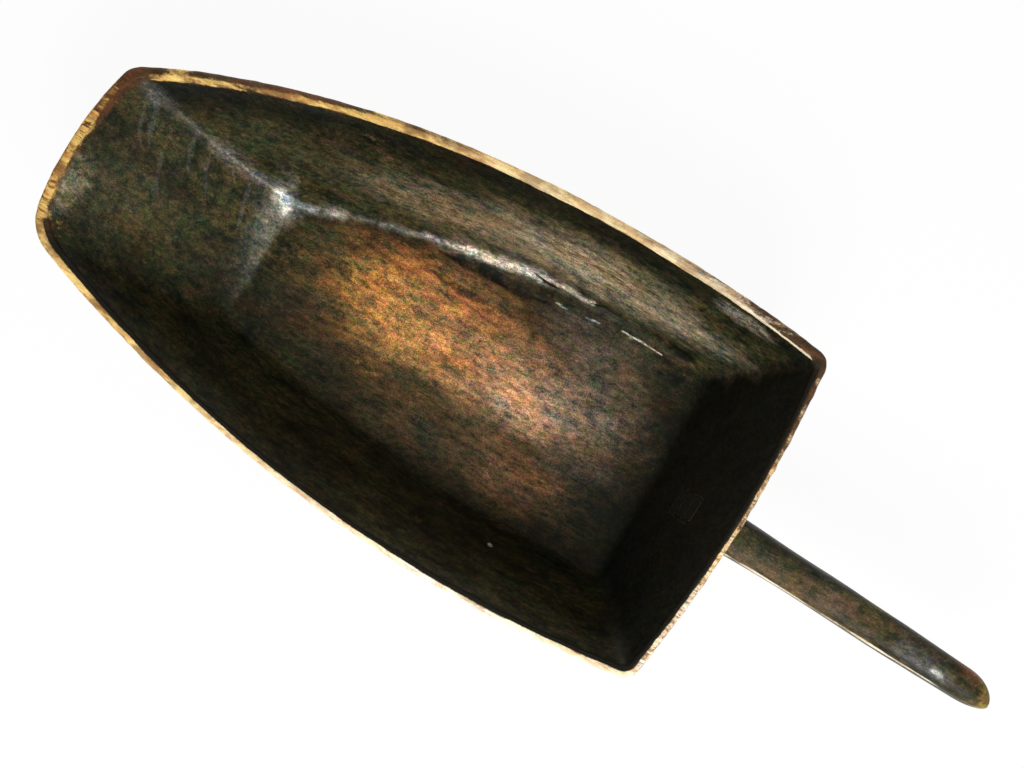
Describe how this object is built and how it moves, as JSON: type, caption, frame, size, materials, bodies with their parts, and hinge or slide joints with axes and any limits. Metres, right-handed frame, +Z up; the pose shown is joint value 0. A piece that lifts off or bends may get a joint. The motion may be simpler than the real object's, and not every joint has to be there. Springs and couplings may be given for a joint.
{
  "type": "grain scoop",
  "caption": "Dug-out wooden grain scoop: a deep trough bowl with a narrow lip, bulging sides and flat floor, and a whittled handle wedged through its back wall.",
  "frame": {"origin": "middle of the flat underside that the scoop rests on", "axes": "+X from the lip to the handle, +Y the left side seen from the lip, +Z up"},
  "size_m": [0.6497, 0.2458, 0.1059],
  "materials": {
    "bowl_wood": "dark hand-rubbed patina, worn to bare wood along the rim and on the floor",
    "handle_wood": "dark olive-brown patina, polished by the hand",
    "wedge_wood": "dull, darkened end grain"
  },
  "bodies": {
    "root": {"bowl": "bowl_wood", "handle": "handle_wood", "upper_wedge": "wedge_wood", "lower_wedge": "wedge_wood"}
  },
  "joints": []
}
